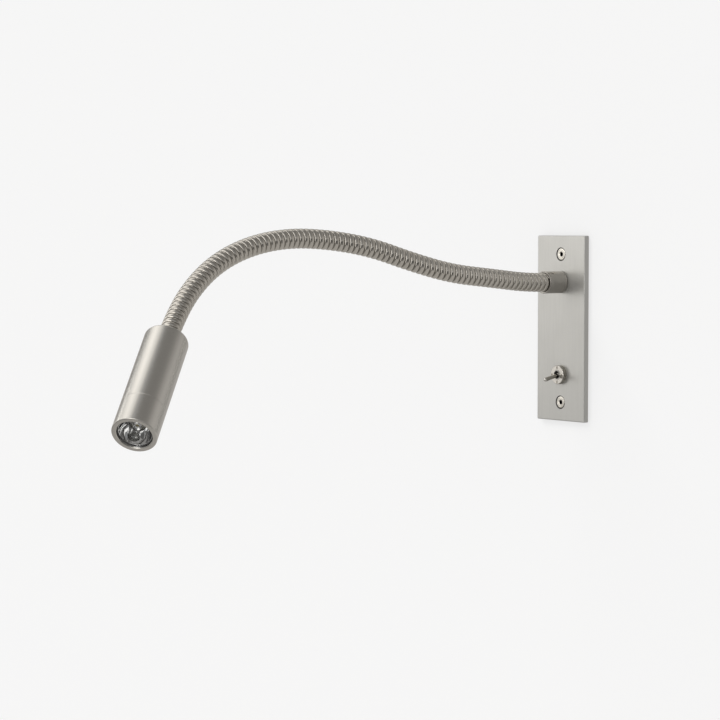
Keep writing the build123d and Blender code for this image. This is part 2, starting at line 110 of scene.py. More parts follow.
def boxShape(name, size, centre):
    clearSelection()
    bpy.ops.mesh.primitive_cube_add(size=1, location=[c * mm for c in centre])
    piece = bpy.context.object
    piece.name = name
    piece.scale = [s * mm for s in size]
    bpy.ops.object.transform_apply(location=True, rotation=True, scale=True)
    return piece


def joinShapes(shapes):
    if len(shapes) == 1:
        return shapes[0]
    clearSelection()
    for shape in shapes:
        shape.select_set(True)
    bpy.context.view_layer.objects.active = shapes[0]
    bpy.ops.object.join()
    return shapes[0]


def cutAway(piece, cutters):
    cutter = joinShapes(cutters)
    cut = piece.modifiers.new("cut", 'BOOLEAN')
    cut.operation = 'DIFFERENCE'
    cut.solver = 'EXACT'
    cut.object = cutter
    applyModifiers(piece)
    bpy.data.objects.remove(cutter)


def easeEdges(piece, width, sharpOver=40):
    bevel = piece.modifiers.new("easedEdges", 'BEVEL')
    bevel.width = width * mm
    bevel.segments = 2
    bevel.limit_method = 'ANGLE'
    bevel.angle_limit = radians(sharpOver)
    applyModifiers(piece)


def smoothFaces(piece, sharpOver=38):
    pick(piece)
    bpy.ops.object.shade_smooth_by_angle(angle=radians(sharpOver))
    piece.modifiers.new("evenNormals", 'WEIGHTED_NORMAL').keep_sharp = True
    applyModifiers(piece)


def placeShape(piece, place):
    piece.matrix_world = place
    pick(piece)
    bpy.ops.object.transform_apply(location=True, rotation=True, scale=True)


def copyShape(piece, name):
    pick(piece)
    bpy.ops.object.duplicate()
    twin = bpy.context.object
    twin.name = name
    return twin


def curveThrough(name, points, steps):
    # each point is its place, the way the line runs there and its handles' two lengths
    bpy.ops.curve.primitive_bezier_curve_add()
    curve = bpy.context.object
    curve.name = name
    line = curve.data.splines[0]
    line.bezier_points.add(len(points) - len(line.bezier_points))
    for point, (place, way, before, after) in zip(line.bezier_points, points):
        point.handle_left_type = point.handle_right_type = 'FREE'
        point.co = place
        point.handle_left = place - way * before
        point.handle_right = place + way * after
    curve.data.dimensions = '3D'
    curve.data.resolution_u = steps
    return curve


def coat(piece, *names):
    for name in names:
        piece.data.materials.append(finishes[name])


def paintFaces(piece, index, chosen):
    # another of the piece's finishes on the faces whose centre and normal are chosen
    for face in piece.data.polygons:
        if chosen(face.center / mm, face.normal):
            face.material_index = index


def dress(piece, body, node):
    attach(piece, body)
    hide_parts(node)


# places on the object, in mm

plateSizes = {"width": 45, "height": 120, "thickness": 4, "edge": 0.7, "edgeSteps": 5,
              "screwSpacing": 96, "screwHole": 2.2, "sinkStart": 1.8, "sinkEnd": 4.02,
              "sinkRadius": 4.42, "sinkRim": 0.04, "neckHeight": 30, "neckHole": 5,
              "switchHeight": -30, "switchHole": 3.15, "holeSides": 72}
screwHeights = (plateSizes["screwSpacing"] / 2, -plateSizes["screwSpacing"] / 2)


def outward(height):
    # local Z leaves the wall, local Y is up
    turn = Matrix(((1, 0, 0), (0, 0, -1), (0, 1, 0))).to_4x4()
    return Matrix.Translation((0, 0, height * mm)) @ turn


neckSizes = {"spans": 11, "spanLength": 28.96, "pitch": 3.62, "radius": 6.1, "groove": 5.5,
             "bore": 3.4, "stripWidth": 3.35, "crownWidth": 0.7, "shoulder": 0.8, "foot": 5.15,
             "collarFront": 19, "sunkInCollar": 1.6, "sunkInHead": 0.9, "blendMargin": 0.3,
             "leadRadius": 1.3, "leadSides": 24, "stepsPerTurn": 64, "shoulderSteps": 6,
             "ringSpacing": 1.2, "straightRun": 20, "guideSteps": 48}
# the way the neck points at the ends of its spans, degrees above level and towards +X
neckRise = [0, 6.5, 6, 15, 18.5, 9.5, 2.5, -9, -21, -33, -38.5, -40.4]
neckSwing = [0, -4, -8, -12, -13.5, -10.5, -4.5, -0.5, 6.5, 17, 31, 38.9]


def pointing(rise, swing):
    a, b = radians(rise), radians(swing)
    return Vector((cos(a) * sin(b), -cos(a) * cos(b), sin(a)))


def neckLine():
    # each span of the neck is one circular arc
    ways = [pointing(*pair) for pair in zip(neckRise, neckSwing)]
    knots = [Vector((0, -neckSizes["collarFront"] * mm, plateSizes["neckHeight"] * mm))]
    for start, end in zip(ways, ways[1:]):
        turn = start.angle(end)
        chord = 2 * neckSizes["spanLength"] * mm / turn * sin(turn / 2)
        knots.append(knots[-1] + (start + end).normalized() * chord)
    return knots, ways


neckKnots, neckWays = neckLine()


def headPlace():
    # local Z runs from the neck's end to the front of the head
    forward = neckWays[-1]
    side = forward.cross(Vector((0, 0, 1))).normalized()
    turn = Matrix((side, forward.cross(side), forward)).transposed().to_4x4()
    return Matrix.Translation(neckKnots[-1]) @ turn


# finishes

grainScales = {"clouds": 60, "streaks": 900, "moulded": 500, "glass": 300}
grainDetail = 3.0
grainRange = (0.3, 0.7)  # where nearly all of the noise lies
reliefDepth = 0.05 * mm


def newFinish(name):
    material = bpy.data.materials.new(name)
    material.use_nodes = True
    return material, material.node_tree, material.node_tree.nodes["Principled BSDF"]


def grainNode(tree, kind, stretch=(1, 1, 1)):
    # noise on the piece's own coordinates, drawn out where stretch is below 1
    place = tree.nodes.new('ShaderNodeTexCoord')
    mapping = tree.nodes.new('ShaderNodeMapping')
    noise = tree.nodes.new('ShaderNodeTexNoise')
    mapping.inputs["Scale"].default_value = stretch
    noise.inputs["Scale"].default_value = grainScales[kind]
    noise.inputs["Detail"].default_value = grainDetail
    tree.links.new(place.outputs["Object"], mapping.inputs["Vector"])
    tree.links.new(mapping.outputs["Vector"], noise.inputs["Vector"])
    return noise.outputs["Fac"]


def rangeNode(tree, source, low, high):
    span = tree.nodes.new('ShaderNodeMapRange')
    span.inputs["From Min"].default_value, span.inputs["From Max"].default_value = grainRange
    span.inputs["To Min"].default_value = low
    span.inputs["To Max"].default_value = high
    tree.links.new(source, span.inputs["Value"])
    return span.outputs["Result"]


def tintNode(tree, source, colour, shade):
    # the colour, a little darker or lighter as the grain goes
    tint = tree.nodes.new('ShaderNodeValToRGB')
    for end, place, level in zip(tint.color_ramp.elements, grainRange, (1 - shade, 1 + shade)):
        end.position = place
        end.color = [min(1, c * level) for c in colour] + [1]
    tree.links.new(source, tint.inputs["Fac"])
    return tint.outputs["Color"]


def reliefNode(tree, source, strength):
    relief = tree.nodes.new('ShaderNodeBump')
    relief.inputs["Strength"].default_value = strength
    relief.inputs["Distance"].default_value = reliefDepth
    tree.links.new(source, relief.inputs["Height"])
    return relief.outputs["Normal"]


def metalFinish(name, colour, roughness, stretch=(1, 1, 1), shade=0.05, uneven=0.04, bump=0.04):
    # broad clouds change the polish, fine streaks the colour and the relief
    material, tree, shader = newFinish(name)
    shader.inputs["Metallic"].default_value = 1.0
    clouds, streaks = grainNode(tree, "clouds"), grainNode(tree, "streaks", stretch)
    rough = rangeNode(tree, clouds, roughness - uneven, roughness + uneven)
    tree.links.new(tintNode(tree, streaks, colour, shade), shader.inputs["Base Color"])
    tree.links.new(rough, shader.inputs["Roughness"])
    tree.links.new(reliefNode(tree, streaks, bump), shader.inputs["Normal"])
    return material


def mouldedFinish(name, colour, roughness, shade=0.06, uneven=0.05, bump=0.15):
    material, tree, shader = newFinish(name)
    grain = grainNode(tree, "moulded")
    rough = rangeNode(tree, grain, roughness - uneven, roughness + uneven)
    tree.links.new(tintNode(tree, grain, colour, shade), shader.inputs["Base Color"])
    tree.links.new(rough, shader.inputs["Roughness"])
    tree.links.new(reliefNode(tree, grain, bump), shader.inputs["Normal"])
    return material


def clearFinish(name, colour, bend=1.49, haze=(0.01, 0.04)):
    material, tree, shader = newFinish(name)
    shader.inputs["Base Color"].default_value = (*colour, 1)
    shader.inputs["Transmission Weight"].default_value = 1.0
    shader.inputs["IOR"].default_value = bend
    rough = rangeNode(tree, grainNode(tree, "glass"), *haze)
    tree.links.new(rough, shader.inputs["Roughness"])
    return material


plain, upright = (1, 1, 1), (1, 1, 0.05)
# colour, roughness, stretch of the grain, shade, unevenness and relief
metals = {
    "plateNickel": ((0.635, 0.63, 0.605), 0.36, upright, 0.02),
    "headNickel": ((0.70, 0.68, 0.64), 0.25, plain, 0.01, 0.01, 0.005),
    # the collar's coat is painted shade, a darkened copy of the nickel
    "collarNickelPaintedShade": ((0.47, 0.45, 0.42), 0.24, plain, 0.03, 0.02, 0.01),
    "neckNickel": ((0.64, 0.61, 0.56), 0.13, plain, 0.04, 0.02, 0.01),
    # the neck's core coat is painted shade, dark so that the grooves between the ribs look shaded
    "neckCorePaintedShade": ((0.16, 0.15, 0.13), 0.45, plain, 0.08),
    # the knurled rim's coat is painted shade, a darker copy of the nut's metal
    "knurlPaintedShade": ((0.42, 0.40, 0.36), 0.28, plain, 0.06, 0.04, 0.02),
    "nutChrome": ((0.78, 0.75, 0.70), 0.22, plain, 0.03, 0.04, 0.02),
    # the lever's coat is painted shade, a darkened copy of the chrome
    "leverChromePaintedShade": ((0.42, 0.40, 0.36), 0.12, plain, 0.02, 0.02, 0.01),
    "brightChrome": ((0.82, 0.80, 0.76), 0.08, plain, 0.02, 0.02, 0.01),
    "silveredCup": ((0.76, 0.76, 0.76), 0.06, plain, 0.01, 0.01, 0.01),
    "screwSteel": ((0.88, 0.85, 0.78), 0.26, plain, 0.03),
    "zincSheet": ((0.60, 0.62, 0.64), 0.36, plain, 0.12, 0.08, 0.05),
    "turnedBrass": ((0.70, 0.52, 0.24), 0.25, plain, 0.05),
    "rawAluminium": ((0.74, 0.75, 0.76), 0.35, plain, 0.04),
}
# colour and roughness
mouldings = {
    # the first entry is painted shade: a near-black coat for hollows where shade falls
    "recessPaintedShade": ((0.035, 0.033, 0.030), 0.60), "blackRubber": ((0.03, 0.03, 0.03), 0.65),
    "blueCase": ((0.05, 0.12, 0.30), 0.45), "whiteCase": ((0.78, 0.78, 0.75), 0.40),
    "creamCase": ((0.80, 0.77, 0.68), 0.38), "cableJacket": ((0.04, 0.04, 0.045), 0.50),
    "greyPad": ((0.40, 0.42, 0.45), 0.70), "whiteMask": ((0.80, 0.80, 0.76), 0.30),
    "phosphor": ((0.86, 0.68, 0.16), 0.30), "blackHolder": ((0.02, 0.02, 0.02), 0.50),
}
# the second glass is painted shade: dark for the middle of the lens
glasses = {"clearOptic": (0.97, 0.98, 0.98), "discPaintedShadeGlass": (0.16, 0.165, 0.155)}
finishes = {name: metalFinish(name, *look) for name, look in metals.items()}
finishes.update({name: mouldedFinish(name, *look) for name, look in mouldings.items()})
finishes.update({name: clearFinish(name, colour) for name, colour in glasses.items()})
# the plate's satin coat also scatters a little light
finishes["plateNickel"].node_tree.nodes["Principled BSDF"].inputs["Metallic"].default_value = 0.85
print("finishes ready:", len(finishes))


# CAD nodes that keep their shape and take a finish

nodeFinishes = {
    "wall_box": "zincSheet", "nipple_washer": "zincSheet", "entry_grommet": "blackRubber",
    "neck_nipple": "turnedBrass", "nipple_nut": "turnedBrass", "tip_nipple": "turnedBrass",
    "tip_nut": "turnedBrass", "switch_lugs": "turnedBrass", "earth_tag": "turnedBrass",
    "terminal_screws": "turnedBrass", "switch_lock_washer": "brightChrome",
    "switch_back_nut": "brightChrome", "switch_body": "blueCase", "led_driver": "whiteCase",
    "driver_screws": "screwSteel", "terminal_block": "creamCase", "earth_screw": "screwSteel",
    "supply_wires": "cableJacket", "switch_wires": "cableJacket", "led_wires": "cableJacket",
    "heat_sink": "rawAluminium", "thermal_pad": "greyPad", "led_board": "whiteMask",
    "led_emitter": "phosphor", "board_screws": "screwSteel", "lens_holder": "blackHolder",
    "lens_gasket": "blackRubber", "lead_plug": "creamCase",
}
for node, finish in nodeFinishes.items():
    for materialSlot in frame["nodes"][node].material_slots:
        materialSlot.material = finishes[finish]


# wall plate

def makePlate():
    size = plateSizes
    front = -size["thickness"] * mm
    plate = boxShape("plate_cover", (size["width"], size["thickness"], size["height"]),
                     (0, -size["thickness"] / 2, 0))
    bpy.ops.object.mode_set(mode='EDIT')
    bpy.ops.mesh.select_all(action='DESELECT')
    bpy.ops.object.mode_set(mode='OBJECT')
    # the edges round the front and at the plate's four corners are rounded
    for edge in plate.data.edges:
        depths = [plate.data.vertices[v].co.y for v in edge.vertices]
        aroundFront = max(depths) < front + samePoint
        atCorner = max(depths) - min(depths) > samePoint
        edge.select = aroundFront or atCorner
    bpy.ops.object.mode_set(mode='EDIT')
    bpy.ops.mesh.bevel(offset=size["edge"] * mm, segments=size["edgeSteps"], affect='EDGES')
    bpy.ops.object.mode_set(mode='OBJECT')
    behind, inFront = -1, size["thickness"] + 1
    screwHole, sink = size["screwHole"], size["sinkRadius"]
    sinkLine = [(screwHole, behind), (screwHole, size["sinkStart"]),
                (sink, size["sinkEnd"]), (sink, inFront)]
    holes = [(height, sinkLine) for height in screwHeights]
    for radius, height in ((size["neckHole"], size["neckHeight"]),
                           (size["switchHole"], size["switchHeight"])):
        holes.append((height, [(radius, behind), (radius, inFront)]))
    cutters = []
    for height, line in holes:
        hole = turnShape("hole", line, size["holeSides"])
        placeShape(hole, outward(height))
        cutters.append(hole)
    cutAway(plate, cutters)
    smoothFaces(plate)
    # the second coat paints shade on the sloping walls of the countersinks
    coat(plate, "plateNickel", "recessPaintedShade")
    for height in screwHeights:  # the sloping walls of the sinks
        paintFaces(plate, 1, lambda spot, normal: abs(normal.y) < 0.9
                   and Vector((spot.x, spot.z - height)).length < sink - size["sinkRim"])
    dress(plate, "root", "wall_plate")


# countersunk socket screws

screwSizes = {"shaft": 2.0, "tail": -8, "tailCut": 0.5, "coneStart": 1.6, "coneEnd": 3.4,
              "head": 3.78, "headEdge": 0.08, "headSlope": 0.12, "top": 3.8, "key": 2.5,
              "keyDepth": 2.0, "ease": 0.04,
              # the turned rings round the key, each radius and how far it stands above the top
              "rings": [(2.95, 0.06), (2.80, -0.10), (2.62, -0.10), (2.48, 0.08), (1.85, 0.08),
                        (1.45, -0.30)]}


def makeScrews():
    size = screwSizes
    shaft, head, tail, top = size["shaft"], size["head"], size["tail"], size["top"]
    outline = [(shaft - size["tailCut"], tail), (shaft, tail + size["tailCut"]),
               (shaft, size["coneStart"]), (head, size["coneEnd"]), (head, top - size["headEdge"]),
               (head - size["headSlope"], top)]
    outline += [(radius, top + rise) for radius, rise in size["rings"]]
    screw = turnShape("screw", outline)
    clearSelection()
    bpy.ops.mesh.primitive_cylinder_add(vertices=6, radius=size["key"] / 2 / cos(pi / 6) * mm,
                                        depth=2 * size["keyDepth"] * mm, location=(0, 0, top * mm))
    cutAway(screw, [bpy.context.object])
    easeEdges(screw, size["ease"], 30)
    smoothFaces(screw)
    # the second coat paints shade inside the key socket, within the innermost ring
    coat(screw, "screwSteel", "recessPaintedShade")
    socket = size["rings"][-1][0] + 0.01  # the inside of the innermost ring
    paintFaces(screw, 1, lambda spot, normal: spot.xy.length < socket and 0 < spot.z < top - 0.2)
    screws = [screw, copyShape(screw, "screwTwin")]
    for piece, height in zip(screws, screwHeights):
        placeShape(piece, outward(height))
    pair = joinShapes(screws)
    pair.name = "cover_screws"
    dress(pair, "root", "plate_screws")


# base collar

collarSizes = {"radius": 7.2, "length": 15.2, "round": 1.3, "mouth": 6.2, "mouthDepth": 2.2,
               "bore": 5.0, "lip": 0.2, "ease": 0.08, "sides": 128}


def makeCollar():
    size = collarSizes
    radius, corner, lip, bore = size["radius"], size["round"], size["lip"], size["bore"]
    start = plateSizes["thickness"]
    end = start + size["length"]
    seat = end - size["mouthDepth"]
    outline = [(bore, start)]
    outline += roundCorner((radius - corner, start + corner), corner, -90, 0, 8)
    outline += [(radius, end - lip), (radius - lip, end), (size["mouth"], end),
                (size["mouth"], seat), (bore, seat), (bore, start)]
    collar = turnShape("collar_turning", outline, size["sides"])
    easeEdges(collar, size["ease"])
    smoothFaces(collar)
    # the collar's nickel is darkened as painted shade for the dark that it mirrors
    coat(collar, "collarNickelPaintedShade")
    placeShape(collar, outward(plateSizes["neckHeight"]))
    dress(collar, "root", "base_collar")


# gooseneck: one wound strip on a core tube, in a piece for each joint

def arcHandle(start, end):
    # handles this long make the stretch between two ways a circular arc
    turn = start.angle(end)
    return 4 / 3 * tan(turn / 4) * neckSizes["spanLength"] * mm / turn


def neckGuide():
    # the curve that the straight winding is bent along, with a straight run before and after
    run = neckSizes["straightRun"] * mm
    ways = [neckWays[0]] + neckWays + [neckWays[-1]]
    places = [neckKnots[0] - ways[0] * run] + neckKnots + [neckKnots[-1] + ways[-1] * run]
    handles = [run / 3] + [arcHandle(*pair) for pair in zip(neckWays, neckWays[1:])] + [run / 3]
    points = zip(places, ways, handles[:1] + handles, handles + handles[-1:])
    return curveThrough("neckGuide", list(points), neckSizes["guideSteps"])


def neckPoint(station):
    # a point on the neck's centre line, station in mm from the collar's mouth
    length = neckSizes["spanLength"]
    index = min(int(station // length), neckSizes["spans"] - 1)
    share = station / length - index
    start, end = neckWays[index], neckWays[index + 1]
    turn = start.angle(end)
    normal = start.cross(end).normalized()
    inward = normal.cross(start)
    radius = length * mm / turn
    angle = turn * share
    return neckKnots[index] + start * (radius * sin(angle)) + inward * (radius * (1 - cos(angle)))


def woundStrip(first, last):
    # the strip's section, drawn at the start of the piece and wound up about Z
    size = neckSizes
    height = size["radius"] - size["foot"]
    bpy.ops.mesh.primitive_plane_add(size=1)
    strip = bpy.context.object
    strip.name = "strip"
    reach = (size["stripWidth"] - size["crownWidth"]) / 2
    strip.rotation_euler = (pi / 2, 0, 0)
    strip.scale = (height * reach / size["shoulder"] * mm, size["stripWidth"] * mm, 1)
    bpy.ops.object.transform_apply(location=True, rotation=True, scale=True)
    outerSide = max(v.co.x for v in strip.data.vertices)
    bpy.ops.object.mode_set(mode='EDIT')
    bpy.ops.mesh.select_all(action='DESELECT')
    bpy.ops.object.mode_set(mode='OBJECT')
    for vertex in strip.data.vertices:
        vertex.select = vertex.co.x > outerSide - samePoint
    # the strip's two outer corners are rounded in full and then pressed flat to the shoulder
    bpy.ops.object.mode_set(mode='EDIT')
    bpy.ops.mesh.select_mode(type='VERT')
    bpy.ops.mesh.bevel(offset=reach * mm, segments=size["shoulderSteps"], affect='VERTICES')
    bpy.ops.mesh.select_all(action='SELECT')
    bpy.ops.transform.resize(value=(size["shoulder"] / reach, 1, 1), center_override=(0, 0, 0))
    middle = (size["foot"] + height / 2) * mm
    bpy.ops.transform.translate(value=(middle, 0, first * mm))
    bpy.ops.mesh.delete(type='ONLY_FACE')
    bpy.ops.object.mode_set(mode='OBJECT')
    turns = (last - first) / size["pitch"]
    wind = strip.modifiers.new("wind", 'SCREW')
    wind.axis = 'Z'
    wind.angle = 2 * pi * turns
    wind.screw_offset = (last - first) * mm
    wind.iterations = 1
    wind.steps = wind.render_steps = round(turns * size["stepsPerTurn"])
    wind.use_merge_vertices = False
    applyModifiers(strip)
    closeShape(strip)
    strip.rotation_euler = (0, 0, 2 * pi * first / size["pitch"])
    bpy.ops.object.transform_apply(location=True, rotation=True, scale=True)
    return strip


def straightTube(name, first, last, outer, inner, sides):
    steps = round((last - first) / neckSizes["ringSpacing"])
    heights = [first + (last - first) * k / steps for k in range(steps + 1)]
    outline = [(outer, h) for h in heights]
    if inner:
        outline += [(inner, h) for h in reversed(heights)] + [outline[0]]
    return turnShape(name, outline, sides)


def bendAlong(shape, guide):
    bend = shape.modifiers.new("bend", 'CURVE')
    bend.object = guide
    bend.deform_axis = 'POS_Z'
    applyModifiers(shape)


def makeNeck():
    size = neckSizes
    guide = neckGuide()
    run = size["straightRun"]
    joints = [j for j in frame["joints"] if j["name"].startswith("neck_")]
    for number, joint in enumerate(joints, 1):
        first = (number - 0.5) * size["spanLength"]
        last = (number + 0.5) * size["spanLength"]
        blendStart, blendEnd = first + size["blendMargin"], last - size["blendMargin"]
        spans = [f"neck_span_{number + 1}"]
        if number == 1:
            first = -size["sunkInCollar"]
            spans.insert(0, "neck_span_1")
        if number == len(joints):
            last = size["spans"] * size["spanLength"] + size["sunkInHead"]
        ends = (first + run, last + run)
        strip = woundStrip(*ends)
        # the core's dark coat paints shade in the grooves between the ribs
        core = straightTube("core", *ends, size["groove"], size["bore"], size["stepsPerTurn"])
        coat(strip, "neckNickel", "neckCorePaintedShade")
        coat(core, "neckCorePaintedShade")
        winding = joinShapes([strip, core])
        winding.name = f"neck_winding_{number}"
        wire = straightTube(f"lead_run_{number}", *ends, size["leadRadius"], 0, size["leadSides"])
        coat(wire, "cableJacket")
        for shape, nodes, slot in ((winding, spans, "neck_steel"),
                                   (wire, ["neck_lead"], "wire_jacket")):
            bendAlong(shape, guide)
            smoothFaces(shape, 50)
            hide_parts(*nodes)
            neckPoint(blendStart)
            neckPoint(blendEnd)
            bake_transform(shape)
    bpy.data.objects.remove(guide)


# the lead's two fixed ends, inside the box and inside the head

leadEnds = {"driverTop": 12, "behindWall": 31, "bend": 8.1, "headReach": 14, "handle": 2,
            "curveSteps": 16, "roundSteps": 4}


def leadPiece(name, points, body):
    wire = curveThrough(name, points, leadEnds["curveSteps"])
    wire.data.bevel_depth = neckSizes["leadRadius"] * mm
    wire.data.bevel_resolution = leadEnds["roundSteps"]
    wire.data.use_fill_caps = True
    pick(wire)
    bpy.ops.object.convert(target='MESH')
    wire = bpy.context.object
    closeShape(wire)
    smoothFaces(wire, 50)
    coat(wire, "cableJacket")
    dress(wire, body, "neck_lead")


def makeLeadEnds():
    size = leadEnds
    up, out, forward = Vector((0, 0, 1)), Vector((0, -1, 0)), neckWays[-1]
    short, bend = size["handle"] * mm, size["bend"] * mm
    quarter = 4 / 3 * tan(pi / 8) * bend  # the handles of a quarter turn
    corner = Vector((0, size["behindWall"], plateSizes["neckHeight"])) * mm
    bottom = Vector((0, size["behindWall"], size["driverTop"])) * mm
    mouth = neckKnots[0] - neckWays[0] * neckSizes["sunkInCollar"] * mm
    leadPiece("lead_in_box", [(bottom, up, short, short), (corner - up * bend, up, short, quarter),
                              (corner + out * bend, out, quarter, short),
                              (mouth, out, short, short)], "root")
    start = neckKnots[-1] + forward * neckSizes["sunkInHead"] * mm
    end = neckKnots[-1] + forward * size["headReach"] * mm
    leadPiece("lead_in_head", [(start, forward, short, short),
                               (end, forward, short, short)], "head")


# toggle switch

nutSizes = {"radius": 6.1, "height": 3.0, "foot": 0.25, "bevel": 0.4, "crown": 0.12,
            "crownAt": 0.45, "holeEase": 0.15, "knurls": 36, "knurlDepth": 0.3, "notches": 4,
            "notchCentre": 4.6, "notchReach": 1.7, "notchWidth": 1.1, "notchDepth": 0.6}
# each cut is an edge taken off, across and along
bushingSizes = {"radius": 3.15, "bore": 1.8, "tail": -4, "proud": 0.4, "pitch": 0.5,
                "threadDepth": 0.18, "threadStart": -3.5, "plainFront": 0.6, "mouth": 2.6,
                "seat": 2.0, "seatRise": 0.5, "seatDrop": 1.5, "tailCut": (0.15, 0.2),
                "frontCut": (0.25, 0.3), "mouthCut": (0.1, 0.12)}
leverSizes = {"pivot": 5.4, "tilt": 13.5, "length": 13.2, "ball": 1.7, "root": 1.18, "tip": 1.32,
              "tail": [(0.3, -3.5), (0.6, -3.3), (0.8, -1.6)], "rootStart": 2.0, "rootEnd": 2.4,
              "swell": 0.05, "swellStart": 1.2, "swellEnd": 0.4, "tipPaintedHighlight": 0.2}


def makeRingNut():
    size = nutSizes
    hole, ease, foot = bushingSizes["radius"], size["holeEase"], size["foot"]
    outer, bevel, crown = size["radius"], size["bevel"], size["crown"]
    base = plateSizes["thickness"]
    top = base + size["height"]
    perKnurl = 4
    sides = size["knurls"] * perKnurl
    outline = [(hole, base), (outer - foot, base), (outer, base + foot), (outer, top - bevel),
               (outer - crown, top - bevel * size["crownAt"]), (outer - bevel, top),
               (hole + ease, top), (hole, top - ease), (hole, base)]
    nut = turnShape("nut_dressed", outline, sides)
    pick(nut)
    bpy.ops.object.mode_set(mode='EDIT')
    bpy.ops.mesh.select_mode(type='VERT')
    bpy.ops.mesh.select_all(action='DESELECT')
    bpy.ops.object.mode_set(mode='OBJECT')
    # the rim is drawn in at every fourth side, which leaves the knurls
    for vertex in nut.data.vertices:
        spot = vertex.co.xy
        column = round(spot.angle_signed(Vector((1, 0))) / (2 * pi) * sides)
        onRim = spot.length > (outer - crown - 0.01) * mm
        vertex.select = onRim and column % perKnurl == 0
    bpy.ops.object.mode_set(mode='EDIT')
    shrink = 1 - size["knurlDepth"] / outer
    bpy.ops.transform.resize(value=(shrink, shrink, 1), center_override=(0, 0, 0))
    bpy.ops.object.mode_set(mode='OBJECT')
    notches = []
    for count in range(size["notches"]):
        notch = boxShape("notch", (size["notchReach"], size["notchWidth"], 2 * size["notchDepth"]),
                         (size["notchCentre"], 0, top))
        placeShape(notch, Matrix.Rotation(2 * pi * count / size["notches"], 4, 'Z'))
        notches.append(notch)
    cutAway(nut, notches)
    smoothFaces(nut, 25)
    # the rim's darker coat is painted shade for the dark that the side mirrors
    coat(nut, "nutChrome", "knurlPaintedShade")  # the rim is darker than the front
    paintFaces(nut, 1, lambda spot, normal: spot.xy.length > outer - size["knurlDepth"]
               and abs(normal.z) < 0.5)
    placeShape(nut, outward(plateSizes["switchHeight"]))
    dress(nut, "root", "switch_ring_nut")


def makeBushing():
    size = bushingSizes
    outer, bore, mouth, seat = size["radius"], size["bore"], size["mouth"], size["seat"]
    tailCut, frontCut, mouthCut = size["tailCut"], size["frontCut"], size["mouthCut"]
    tail = size["tail"]
    end = plateSizes["thickness"] + nutSizes["height"] + size["proud"]
    seatTop = leverSizes["pivot"] + size["seatRise"]
    seatFloor = leverSizes["pivot"] - size["seatDrop"]
    outline = [(bore, tail), (outer - tailCut[0], tail), (outer, tail + tailCut[1])]
    height = size["threadStart"]
    while height < end - size["plainFront"]:
        outline += [(outer, height), (outer - size["threadDepth"], height + size["pitch"] / 2)]
        height += size["pitch"]
    outline += [(outer, end - frontCut[1]), (outer - frontCut[0], end), (mouth + mouthCut[0], end),
                (mouth, end - mouthCut[1]), (seat, seatTop), (seat, seatFloor),
                (bore, seatFloor), (bore, tail)]
    bushing = turnShape("bushing_turned", outline)
    smoothFaces(bushing)
    # the second coat paints shade inside the mouth, round the lever
    coat(bushing, "brightChrome", "recessPaintedShade")  # dark inside the mouth
    paintFaces(bushing, 1, lambda spot, normal: spot.xy.length < mouth - 0.05)
    placeShape(bushing, outward(plateSizes["switchHeight"]))
    dress(bushing, "root", "switch_bushing")


def makeLever():
    size = leverSizes
    root, tip = size["root"], size["tip"]
    tipHeight = size["length"] - tip
    outline = size["tail"] + roundCorner((0, 0), size["ball"], -62, 50, 14)
    outline += [(root, size["rootStart"]), (root, size["rootEnd"]),
                (tip - size["swell"], tipHeight - size["swellStart"]),
                (tip, tipHeight - size["swellEnd"])]
    outline += roundCorner((0, tipHeight), tip, 0, 84, 10)
    lever = turnShape("lever_turned", outline, 64)
    smoothFaces(lever, 45)
    # the lever's body is chrome darkened as painted shade, and its tip end is bright chrome as a
    # painted highlight
    coat(lever, "leverChromePaintedShade", "brightChrome")
    paintFaces(lever, 1, lambda spot, normal: spot.z > tipHeight + size["tipPaintedHighlight"])
    # turned about Z, then laid on its pivot, where it leans down at rest
    tilt = radians(size["tilt"])
    place = Matrix.Translation((0, -size["pivot"] * mm, plateSizes["switchHeight"] * mm))
    turn = Matrix(((1, 0, 0), (0, -sin(tilt), -cos(tilt)), (0, cos(tilt), -sin(tilt)))).to_4x4()
    placeShape(lever, place @ turn)
    dress(lever, "switch_lever", "switch_lever")


# head

headSizes = {"radius": 13.0, "length": 76.0, "seam": 56.0, "seamBevel": 0.12, "inner": 11.4,
             "rearWall": 4.0, "rearRound": 1.2, "neckRecess": 6.4, "recessDepth": 1.2,
             "recessEdge": 0.12, "nippleHole": 5.0, "rimRound": 0.5, "opening": 10.2,
             "openingBevel": 0.35, "lip": 1.5, "ease": 0.05, "sides": 160}


def finishHead(outline, name, node):
    piece = turnShape(name, outline, headSizes["sides"])
    easeEdges(piece, headSizes["ease"])
    smoothFaces(piece)
    coat(piece, "headNickel")
    placeShape(piece, headPlace())
    dress(piece, "head", node)


def makeHeadShell():
    size = headSizes
    outer, inner, seam, bevel = size["radius"], size["inner"], size["seam"], size["seamBevel"]
    hole, recess, depth = size["nippleHole"], size["neckRecess"], size["recessDepth"]
    edge, corner = size["recessEdge"], size["rearRound"]
    outline = [(hole, depth), (recess, depth), (recess, edge), (recess + edge, 0)]
    outline += roundCorner((outer - corner, corner), corner, -90, 0, 10)
    outline += [(outer, seam - bevel), (outer - bevel, seam), (inner, seam),
                (inner, size["rearWall"]), (hole, size["rearWall"]), (hole, depth)]
    finishHead(outline, "head_shell", "head_body")


def makeHeadFront():
    size = headSizes
    outer, inner, seam, bevel = size["radius"], size["inner"], size["seam"], size["seamBevel"]
    opening, cut = size["opening"], size["openingBevel"]
    corner, end = size["rimRound"], size["length"]
    outline = [(inner, seam), (outer - bevel, seam), (outer, seam + bevel)]
    outline += roundCorner((outer - corner, end - corner), corner, 0, 90, 6)
    outline += [(opening + cut, end), (opening, end - cut), (opening, end - size["lip"]),
                (inner, end - size["lip"]), (inner, seam)]
    finishHead(outline, "head_front", "head_bezel")


